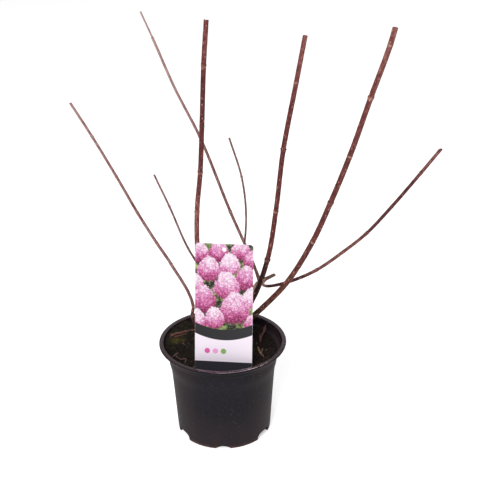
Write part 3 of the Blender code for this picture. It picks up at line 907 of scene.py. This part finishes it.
# a regular solid of 12 corners and 20 faces
GOLDEN = 1.618
ICO_EDGE = 1.1     # just over the length of its edges
ICO = [Vector(corner).normalized() for corner in (
    (0, -1, GOLDEN), (0, 1, GOLDEN), (0, -1, -GOLDEN), (0, 1, -GOLDEN),
    (-1, GOLDEN, 0), (1, GOLDEN, 0), (-1, -GOLDEN, 0), (1, -GOLDEN, 0),
    (GOLDEN, 0, -1), (GOLDEN, 0, 1), (-GOLDEN, 0, -1), (-GOLDEN, 0, 1))]
ICO_FACES = [
    (a, b, c) if (ICO[b] - ICO[a]).cross(ICO[c] - ICO[a]).dot(ICO[a]) > 0 else (a, c, b)
    for a, b, c in combinations(range(12), 3)
    if max((ICO[a] - ICO[b]).length, (ICO[b] - ICO[c]).length, (ICO[a] - ICO[c]).length) < ICO_EDGE]


def random_spot(limit):
    """Return a place on the ground inside the given radius."""
    radius = limit * math.sqrt(rng.random())
    turn = math.tau * rng.random()
    return radius * math.cos(turn), radius * math.sin(turn)


def crumb(x, y, size):
    """Return the corners of a small ragged lump that lies on the ground."""
    spin = Matrix.Rotation(rng.uniform(0, math.tau), 3, "Z")
    spin = spin @ Matrix.Rotation(rng.uniform(0, math.pi), 3, "X")
    shape = Vector([rng.uniform(*limits) for limits in CRUMB_SHAPE])
    centre = on_ground(x, y, CRUMB_LIFT * size)
    return [centre + spin @ (corner * shape * (size * rng.uniform(*CRUMB_RAGGEDNESS))) for corner in ICO]


def build_crumbs():
    """Scatter crumbs of peat and bark and a few pale grains over the ground."""
    shades = [soil_material("crumb_dark", (7, 5, 4), (22, 15, 11), 300.0),
              soil_material("crumb_brown", (24, 14, 10), (44, 30, 22), 300.0),
              soil_material("crumb_bark", (50, 29, 22), (78, 50, 38), 300.0)]
    crumbs = MeshData()
    for _ in range(CRUMB_COUNT):
        x, y = random_spot(CRUMB_REACH)
        lump = crumb(x, y, CRUMB_SIZE + CRUMB_SPREAD * rng.random() ** 4)
        crumbs.add(lump, ICO_FACES, rng.choices((0, 1, 2), CRUMB_SHADES)[0])
    make_piece("soil_crumbs", crumbs, shades, "soil", smooth=False)
    grains = MeshData()
    for _ in range(GRAIN_COUNT):
        x, y = random_spot(GRAIN_REACH)
        grains.add(crumb(x + GRAIN_SHIFT, y, rng.uniform(*GRAIN_SIZE)), ICO_FACES)
    grain = plain_material("pale_grain", (150, 142, 134), (108, 102, 96), 400.0)
    make_piece("pale_grains", grains, [grain], "soil", smooth=False)


def lying_path(x, y, heading, length, lift, steps=9, wander=0.5):
    """Return points of a thread that lies on the ground."""
    points = []
    for _ in range(steps + 1):
        points.append(on_ground(x, y, lift))
        heading += rng.uniform(-wander, wander)
        x += math.cos(heading) * length / steps
        y += math.sin(heading) * length / steps
        if math.hypot(x, y) > CRUMB_REACH:
            break
    return points


def build_fibres():
    """Strew fine root fibres over the ground."""
    data = MeshData()
    for _ in range(FIBRE_COUNT):
        x, y = random_spot(FIBRE_REACH)
        length = rng.uniform(*FIBRE_LENGTH)
        points = lying_path(x, y, rng.uniform(0, math.tau), length, rng.uniform(*FIBRE_LIFT))
        if len(points) > 3:
            data.add(*sweep(points, [rng.uniform(*FIBRE_RADIUS)] * len(points), FIBRE_SIDES))
    fibre = plain_material("root_fibre", (44, 26, 21), (74, 48, 38), 300.0)
    make_piece("root_fibres", data, [fibre], "soil")


def smooth_path(stations, steps):
    """Return points on a smooth curve through stations."""
    places = [on_ground(*station) for station in stations]
    return smooth_curve(places, directions(places), [steps] * (len(places) - 1))


def twig(first, last, stations):
    """Return the verts and faces of an uneven twig."""
    points = smooth_path(stations, TWIG_STEPS)
    count = len(points) - 1
    radii = []
    for i in range(count + 1):
        taper = first + (last - first) * i / count
        radii.append(taper / 2 * (1.0 + 0.3 * fractal(i * 0.6, stations[0][0], 2.0)))
        points[i] += Vector((0.0, 0.3 * first, 0.1 * first)) * fractal(i * 0.5, first, stations[0][1])
    return sweep(points, radii, TWIG_SIDES)


def curled_sheet(width, curl, stations):
    """Return the verts and faces of a closed curled strip, such as a dead leaf or a bark chip."""
    points = smooth_path(stations, SHEET_STEPS)
    shares = [2 * j / SHEET_COLUMNS - 1 for j in range(SHEET_COLUMNS + 1)]
    section = [(u, SHEET_THICKNESS / 2) for u in shares]
    section += [(u, -SHEET_THICKNESS / 2) for u in reversed(shares)]
    verts = []
    for i, (point, forward) in enumerate(zip(points, directions(points))):
        t = i / (len(points) - 1)
        side = forward.cross(Vector((0, 0, 1))).normalized()
        up = side.cross(forward)
        half = width / 2 * math.sin(math.pi * (0.08 + 0.84 * t)) ** 0.6
        arch = half * (1.0 + 0.35 * fractal(t * 4, points[0].y, 1.0)) / curl
        for u, thickness in section:
            across = arch * math.sin(curl * u) + 0.5 * fractal(t * 3, u * 0.5, points[0].x)
            verts.append(point + side * across + up * (arch * (1 - math.cos(curl * u)) + thickness))
    return verts, tube_faces(len(points), len(section))


def build_litter():
    """Lay twigs, root ends, bark chips and dead curled leaves on the ground."""
    for name, rows, form, look in (
            ("soil_twigs", RED_TWIGS, twig, ((50, 18, 13), (116, 68, 55), 520.0, 0.6, 0.8)),
            ("pale_roots", PALE_ROOTS, twig, ((120, 90, 84), (78, 50, 46), 520.0, 0.6, 0.8)),
            ("tan_chips", TAN_CHIPS, curled_sheet, ((138, 110, 84), (52, 36, 27), 260.0)),
            ("dead_leaves", DEAD_LEAVES, curled_sheet, ((98, 58, 54), (44, 24, 22), 260.0))):
        data = MeshData()
        for row in rows:
            data.add(*form(*row))
        make_piece(name, data, [plain_material(name, *look)], "soil")


# --- moss ---

def bank_section(turn):
    """Return the bank's closed outline in one direction from the stem, as (reach, height), or None."""
    way = np.array((math.cos(turn), math.sin(turn))) / MOSS_HALF_SIZE
    centre = np.array(MOSS_CENTRE) / MOSS_HALF_SIZE
    root = (way @ centre) ** 2 - way @ way * (centre @ centre - 1)
    if root <= 0:
        return None
    start = (way @ centre - math.sqrt(root)) / (way @ way)
    end = wall_reach(turn, bank_height)
    if not 0 < start < end - 0.5:
        return None
    reaches = [start + (end - start) * step / BANK_STEPS for step in range(BANK_STEPS + 1)]
    section = [(reach, bank_height(reach * math.cos(turn), reach * math.sin(turn))) for reach in reaches]
    low = SOIL_TOP - BANK_DEPTH
    top = section[-1][1]
    for step in range(1, BANK_WALL_STEPS + 1):
        height = top + (low - top) * step / BANK_WALL_STEPS
        section.append((pot_inside(height) + WALL_OVERLAP, height))
    return [*section, (min(start, pot_inside(low) - 0.2), low)]


def build_moss_bank():
    """Make the bank of mossy ground against the left of the pot."""
    verts = []
    rows = 0
    for k in range(BANK_SLICES + 1):
        turn = math.radians(BANK_TURN + BANK_SWEEP * k / BANK_SLICES)
        section = bank_section(turn)
        if section:
            verts += [(reach * math.cos(turn), reach * math.sin(turn), height) for reach, height in section]
            rows += 1
    ground = soil_material("moss_ground", (9, 6, 4), (31, 23, 14), 170.0)
    data = MeshData(verts, tube_faces(rows, len(verts) // rows))
    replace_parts(make_piece("moss_bank", data, [ground], "moss"), "moss")


def build_moss_shoots():
    """Cover the bank with patches of small shoots, with strays on the rest of the ground."""
    shades = [plain_material("moss_dark", (17, 16, 7), (28, 25, 12), 300.0),
              plain_material("moss_olive", (37, 34, 11), (52, 46, 18), 300.0),
              plain_material("moss_bright", (76, 70, 20), (98, 88, 34), 300.0)]
    data = MeshData()
    placed = 0
    while placed < TUFT_COUNT:
        x, y = random_spot(TUFT_REACH)
        root = on_ground(x, y, -TUFT_SINK)
        if math.hypot(x, y) > pot_inside(root.z + TUFT_SINK) - TUFT_CLEARANCE:
            continue
        stray = 0.02 + 0.06 * max(0.0, fractal(x * 0.05, y * 0.05, 44.0))
        if rng.random() > max(moss_share(x, y), stray):
            continue
        placed += 1
        bright = 0.36 + 0.5 * (fractal(x * 0.09, y * 0.09, 60.0) + moss_glow(x, y)) + 0.2 * rng.uniform(-1, 1)
        shade = sum(int(bright >= level) for level in SHADE_LEVELS)
        tall = rng.uniform(*TUFT_HEIGHT)
        for _ in range(rng.randint(*BLADES)):
            turn = rng.uniform(0, math.tau)
            rise = rng.uniform(*BLADE_SLOPE)
            ahead = Vector((math.cos(turn) * math.cos(rise), math.sin(turn) * math.cos(rise), math.sin(rise)))
            side = Vector((-math.sin(turn), math.cos(turn), 0.0)) * rng.uniform(*BLADE_HALF_WIDTH)
            foot = root + Vector((0, 0, tall * rng.random()))
            blade = tall * rng.uniform(*BLADE_LENGTH)
            middle = foot + ahead * (blade * 0.45)
            data.add([foot, middle + side, foot + ahead * blade, middle - side], [(0, 1, 2, 3)], shade)
    make_piece("moss_shoots", data, shades, "moss", smooth=False)


# --- label ---

def label_outline(inset):
    """Return the label's outline in its own plane, anticlockwise from the stake's tip."""
    half, stake, tip = (width / 2 - inset for width in (LABEL_WIDTH, STAKE_WIDTH, STAKE_TIP_WIDTH))
    corner = LABEL_CORNER - inset
    outline = [(-tip, -STAKE_LENGTH + inset), (tip, -STAKE_LENGTH + inset), (stake, inset), (half, inset)]
    for centre_x, start in ((half - corner, 0), (corner - half, 90)):
        for step in range(CORNER_STEPS + 1):
            turn = math.radians(start + 90 * step / CORNER_STEPS)
            outline.append((centre_x + corner * math.cos(turn),
                            LABEL_HEIGHT - LABEL_CORNER + corner * math.sin(turn)))
    return [*outline, (-half, inset), (-stake, inset)]


def fill_label(label, sides):
    """Fill the card's two sides round the hole; the front is printed."""
    build = bmesh.new()
    build.from_mesh(label.data)
    verts = list(build.verts)
    for layer, material in ((0, 0), (3, 1)):
        hole_start = 4 * sides + layer * HOLE_SIDES
        edges = []
        for loop in (verts[layer * sides:][:sides], verts[hole_start:][:HOLE_SIDES]):
            edges += [build.edges.get(pair) for pair in zip(loop, loop[1:] + loop[:1])]
        filled = bmesh.ops.triangle_fill(build, use_beauty=True, use_dissolve=False, edges=edges)
        for face in filled["geom"]:
            if isinstance(face, bmesh.types.BMFace):
                face.material_index = material
                face.normal_update()
                if (face.normal.z > 0) != (material == 1):
                    face.normal_flip()
    build.to_mesh(label.data)
    build.free()


def build_label():
    """Make the printed label: a thin card with rounded edges and a hanging hole."""
    half = LABEL_THICKNESS / 2
    outlines = []
    holes = []
    for inset, height in ((LABEL_BEVEL, -half), (0.0, LABEL_BEVEL - half),
                          (0.0, half - LABEL_BEVEL), (LABEL_BEVEL, half)):
        outlines += [(x, y, height) for x, y in label_outline(inset)]
        holes += ring(HOLE_DIAMETER / 2 + inset, height, HOLE_SIDES, LABEL_HEIGHT - HOLE_DROP)
    sides = len(outlines) // 4
    data = MeshData(outlines, band(4, sides))
    data.add(holes, band(4, HOLE_SIDES, True))
    card = Shader("label_back", 0.35)
    back = card.finish(card.mix(card.noise(card.place(), 30.0), (226, 224, 226), (214, 212, 216)))
    label = make_piece("label_card", data, [back, print_material()], "label_card", smooth=False)
    fill_label(label, sides)
    turn = Matrix.Rotation(math.radians(LABEL_YAW), 4, "Z")
    turn = turn @ Matrix.Rotation(math.radians(90 - LABEL_LEAN), 4, "X")
    label.matrix_world = Matrix.Translation(Vector(LABEL_FOOT) * MM) @ turn
    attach(label, BODY)
    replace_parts(label, "plant_label")


# --- wood ---

class CaneLine:
    """The centre line of a cane with a frame that doesn't twist, read by distance, and its radius."""

    def __init__(self, cane):
        self.cane = cane
        self.seed = sum(map(ord, cane.name))
        corners = [Vector(cane.foot)]
        steps = []
        for heading, internodes in cane.growth:
            across = Vector((math.cos(math.radians(heading)), math.sin(math.radians(heading)), 0.0))
            for length, lean in internodes:
                slope = math.radians(lean)
                step = across * math.sin(slope) + Vector((0.0, 0.0, math.cos(slope)))
                corners.append(corners[-1] + step * length)
                steps.append((corners[-1] - corners[-2]).normalized())
        ways = [(a + b).normalized() for a, b in zip([steps[0], *steps], [*steps, steps[-1]])]
        counts = [max(3, math.ceil((end - start).length / BARK_STEP))
                  for start, end in zip(corners, corners[1:])]
        self.points = np.array(smooth_curve(corners, ways, counts))
        strides = np.linalg.norm(np.diff(self.points, axis=0), axis=1)
        self.places = np.concatenate([[0.0], np.cumsum(strides)])
        self.length = self.places[-1]
        places = self.places[np.cumsum(counts[:-1])]
        self.last_joint = places[-1]
        tangents = np.gradient(self.points, axis=0)
        self.tangents = tangents / np.linalg.norm(tangents, axis=1)[:, None]
        self.normals = np.array(steady_normals([Vector(tangent) for tangent in self.tangents]))
        self.binormals = np.cross(self.tangents, self.normals)
        self.joints = [(place, self.pair_turn(i), self.strength(i)) for i, place in enumerate(places)]

    def pair_turn(self, i):
        """Return the direction of a joint's pair of buds, a quarter turn on from the last."""
        return math.radians(self.seed % 90) + math.pi / 2 * (i % 2) + 0.15 * math.sin(3 * i)

    def strength(self, i):
        """Return how pale a joint is, from 0 to 1."""
        if i in self.cane.faint:
            return FAINT
        return 1.0 if i in self.cane.bright else 0.5 + 0.22 * math.sin(self.seed + 2.4 * i)

    def at(self, rows, place):
        """Return rows of the frame at the given distances."""
        return np.stack([np.interp(place, self.places, rows[:, i]) for i in range(3)], axis=-1)

    def surface(self, place, turn, radius):
        """Return points at distances, turns about the axis and radii."""
        normal = self.at(self.normals, place)
        binormal = self.at(self.binormals, place)
        out = normal * np.cos(turn)[..., None] + binormal * np.sin(turn)[..., None]
        return self.at(self.points, place) + out * np.asarray(radius)[..., None]

    def radius(self, place, turn):
        """Return the radius of the bark's relief at distances and turns."""
        cane = self.cane
        radius = (cane.base + (cane.tip - cane.base) * place / self.length) / 2
        if cane.last is not None:
            share = np.clip((place - self.last_joint) / TIP_BLEND, 0.0, 1.0)
            radius = radius * (1 - share) + cane.last / 2 * share
        swell = 1.0
        for joint, pair, strength in self.joints:
            if strength > FAINT:
                facing = (0.5 + 0.5 * np.cos(2 * (turn - pair))) ** 2
                swell = swell + KNOT_SWELL * bell(place - joint, KNOT_REACH) * (0.4 + 0.9 * facing)
                swell = swell + SCAR_RING_SWELL * bell(place - joint + 0.4, SCAR_RING_REACH)
        if cane.name == STUB:
            facing = (np.cos(turn) * (self.at(self.normals, place) @ FORK_SIDE)
                      + np.sin(turn) * (self.at(self.binormals, place) @ FORK_SIDE))
            web = FORK_SWELL + FORK_WEB * np.clip(facing, 0.0, 1.0) ** 2
            swell = swell + web * bell(place - FORK_PLACE, FORK_REACH)
        swell = swell + cane.swell * bell(place, cane.reach)
        drift = np.sin(place * 0.021 + self.seed) + 0.5 * np.sin(place * 0.057 + 2 * self.seed)
        (broad, broad_share), (fine, fine_share) = RIDGES
        swell = swell + broad_share * np.cos(broad * turn + drift)
        swell = swell + fine_share * np.cos(fine * turn - 2 * drift + self.seed)
        return radius * (swell + RIPPLE * np.sin(place * 0.33 + 3 * np.cos(turn + self.seed)))


def build_cane(cane, bark, cut_wood):
    """Make one cane's bark and its cut end, and return its centre line."""
    line = CaneLine(cane)
    turns = np.linspace(0, math.tau, BARK_SIDES, endpoint=False)
    turn, place = np.meshgrid(turns, line.places)
    radius = line.radius(place, turn)
    verts = line.surface(place, turn, radius)
    forward = (line.at(line.points, place) - verts)[..., 1]
    near_tip = np.clip((place - line.length + CUT_DEPTH) / CUT_DEPTH, 0, 1)
    tip_way = line.tangents[-1]
    verts = (verts + (near_tip * cane.slant * forward)[..., None] * tip_way).reshape(-1, 3)
    tip = verts[-BARK_SIDES:]
    middle = tip.mean(axis=0)
    cut = [middle + (tip - middle) * share + tip_way * rise for share, rise in CUT_RINGS]
    centre = len(verts) + len(CUT_RINGS) * BARK_SIDES
    verts = np.concatenate([verts, *cut, [middle - tip_way * PITH_DROP]])
    faces = band(centre // BARK_SIDES, BARK_SIDES) + fan(centre, centre - BARK_SIDES, BARK_SIDES)
    data = MeshData(verts, [*faces, tuple(reversed(range(BARK_SIDES)))])
    # the cut wood is on the last two rings of quads and the pith on the fan
    data.indices[-3 * BARK_SIDES - 1:] = [1] * (2 * BARK_SIDES) + [2] * BARK_SIDES + [0]
    knot = np.zeros(radius.shape)
    for joint, pair, strength in line.joints:
        side_share = 0.65 + 0.35 * np.cos(turn - pair - strength)
        patch = bell(place - joint + 0.3, 1.1 + 1.6 * strength) * side_share * strength
        knot = np.maximum(knot, patch)
    # tone along the cane, with painted shade where it lies in shade, mostly near its foot
    tone = np.interp(place, *zip(*cane.tones))
    looks = np.stack([tone, knot, radius * np.cos(turn), radius * np.sin(turn), place], axis=-1)
    looks = np.concatenate([looks.reshape(-1, 5), *[looks[-1]] * len(CUT_RINGS), looks[-1, -1:]])
    everywhere = np.ones(len(looks))
    piece = make_piece(cane.name + "_bark", data, [bark, *cut_wood], "cane_bark",
                       tone=looks[:, 0], knot=looks[:, 1], bark=looks[:, 2:],
                       grey=everywhere * cane.grey, old=everywhere * cane.old)
    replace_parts(piece, cane.name)
    return line


def unit_ball(rings, sides):
    """Return the coordinates and the faces of a closed ball of radius one."""
    polars = [math.pi * k / rings for k in range(rings + 1)]
    verts, faces = lathe([(math.sin(polar), math.cos(polar)) for polar in polars], sides)
    return (*np.array(verts).T, faces)


def build_scars_and_buds(grown):
    """Put a pale leaf scar and a small bud on both sides of every joint that shows."""
    x, y, z, ball = unit_ball(rings=8, sides=12)
    scars = MeshData()
    buds = MeshData()
    for line in grown:
        for joint, pair, strength in line.joints:
            if strength <= FAINT:
                continue
            for turn in (pair, pair + math.pi):
                radius = float(line.radius(joint, turn))
                # a shield that bends round the cane
                along = joint - 0.5 + y * (0.16 * radius + 0.45) * (1 - 0.5 * x ** 2)
                if strength > SCAR_STRENGTH:
                    out = radius - 0.12 + z * SCAR_RISE
                    scars.add(line.surface(along, turn + x * SCAR_TURN, out), ball)
                # a pointed bud above it, pressed to the cane
                size = BUD_SIZE[0] + BUD_SIZE[1] * radius
                height = y * 0.5 + 0.5
                slim = (1 - height ** 2.2) * 0.75 + 0.25
                around = x * slim * size * 0.85 / radius
                out = radius * 0.97 + z * slim * size * 0.62 + height * 0.25
                buds.add(line.surface(joint + 0.5 + height * size * BUD_LENGTH, turn + around, out), ball)
    scar = plain_material("leaf_scar", (164, 124, 106), (118, 80, 68), 300.0)
    bud = plain_material("bud", (110, 62, 54), (80, 44, 38), 300.0, 0.55)
    make_piece("leaf_scars", scars, [scar], "cane_bark")
    make_piece("buds", buds, [bud], "cane_bark")


def build_pores(grown):
    """Raise pale corky pores on the bark of every cane; their pale colour is in part a painted highlight,
    standing in for glints on the bark.
    """
    x, y, z, ball = unit_ball(rings=4, sides=8)
    data = MeshData()
    for line in grown:
        place = PORE_START
        while place < line.length - 4.0:
            place += PORE_SPACING * rng.uniform(0.25, 1.75)
            turn = rng.uniform(0, math.tau)
            radius = float(line.radius(place, turn))
            size = rng.uniform(*PORE_SIZE) * (0.5 + 0.13 * radius)
            along = place + y * size * rng.uniform(*PORE_STRETCH)
            around = turn + x * size * 0.66 / radius
            data.add(line.surface(along, around, radius - 0.05 + z * PORE_RISE), ball)
    # pale pores: corky lenticels, and in part a painted highlight for the bark's glints
    pore = plain_material("bark_pore", (186, 130, 118), (140, 90, 80), 300.0, 0.6)
    make_piece("bark_pores", data, [pore], "cane_bark")


def build_base():
    """Make the woody base with its flare, furrows and knuckles."""
    stations = np.array(BASE_STATIONS) + (0.0, 0.0, SOIL_TOP, 0.0)
    levels = np.linspace(stations[0, 2], stations[-1, 2], BASE_LEVELS)
    verts = []
    for x, y, z, diameter in zip(*(np.interp(levels, stations[:, 2], column) for column in stations.T)):
        for across, lengthwise, _ in ring(1.0, 0.0, BASE_SIDES):
            swell = sum(height * fractal(across * fine, lengthwise * fine, z * fine_up)
                        for height, fine, fine_up in BASE_RELIEF)
            reach = diameter / 2 * (1 + swell)
            verts.append((x + reach * across, y + reach * lengthwise, z))
    data = MeshData(verts, tube_faces(BASE_LEVELS, BASE_SIDES))
    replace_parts(make_piece("woody_base_bark", data, [old_wood_material()], "old_wood"), "woody_base")


def build_wood():
    """Make the woody base, all canes, and their scars, buds and pores."""
    bark = bark_material(
        "cane_bark", (150, 110, 92), (0.0, (30, 11, 10)), (0.35, (84, 36, 34)), (0.5, (100, 50, 47)),
        (0.7, (123, 74, 70)), (0.85, (138, 95, 92)), (1.0, (154, 122, 119)))
    # the stub's bark ramp is lighter than the canes': the stub is pale, and painted light on it offsets the
    # shade that falls on it
    stub_bark = bark_material(
        "stub_bark", (118, 92, 76), (0.0, (32, 24, 18)), (0.5, (106, 80, 66)),
        (0.75, (150, 112, 98)), (1.0, (208, 166, 150)))
    cut_wood = [plain_material("cut_wood", (112, 74, 64), (78, 48, 42), 400.0),
                plain_material("pith", (92, 62, 50), (66, 42, 34), 400.0)]
    build_base()
    grown = [build_cane(cane, stub_bark if cane.name == STUB else bark, cut_wood) for cane in CANES]
    build_scars_and_buds(grown)
    build_pores(grown)


# --- stage ---

def build_stage():
    """Set the floor, the world and the lamps."""
    world = bpy.data.worlds.new("studio")
    world.use_nodes = True
    background = world.node_tree.nodes["Background"]
    background.inputs["Color"].default_value = WHITE
    background.inputs["Strength"].default_value = WORLD_STRENGTH
    bpy.context.scene.world = world
    half = FLOOR_SIZE / 2 / MM
    make = Shader("floor", 0.9, Emission_Strength=FLOOR_GLOW, Emission_Color=WHITE)
    corners = [(-half, -half, 0.0), (half, -half, 0.0), (half, half, 0.0), (-half, half, 0.0)]
    MeshData(corners, [(0, 1, 2, 3)]).make("floor", [make.finish(FLOOR_COLOUR)])
    for name, place, size, power in LAMPS:
        light = bpy.data.lights.new(name, "AREA")
        light.shape = "ELLIPSE"
        light.size, light.size_y = size
        light.energy = power
        lamp = new_object(name, light)
        lamp.location = place
        lamp.rotation_euler = (LAMP_AIM - Vector(place)).to_track_quat("-Z", "Y").to_euler()


def build_camera():
    """Set the camera at the photograph's viewing angle."""
    data = bpy.data.cameras.new("camera")
    data.lens = CAMERA_LENS
    data.sensor_width = SENSOR_WIDTH
    camera = new_object("camera", data)
    turn = Matrix.Rotation(math.radians(90 - CAMERA_PITCH), 4, "X")
    turn = turn @ Matrix.Rotation(math.radians(CAMERA_ROLL), 4, "Z")
    back = Matrix.Translation((0.0, 0.0, CAMERA_DISTANCE))
    camera.matrix_world = Matrix.Translation(CAMERA_TARGET) @ turn @ back
    bpy.context.scene.camera = camera


bpy.context.scene.view_settings.view_transform = "Standard"
build_camera()
build_stage()
build_pot()
build_soil_body()
build_crumbs()
build_fibres()
build_litter()
build_moss_bank()
build_moss_shoots()
build_label()
build_wood()
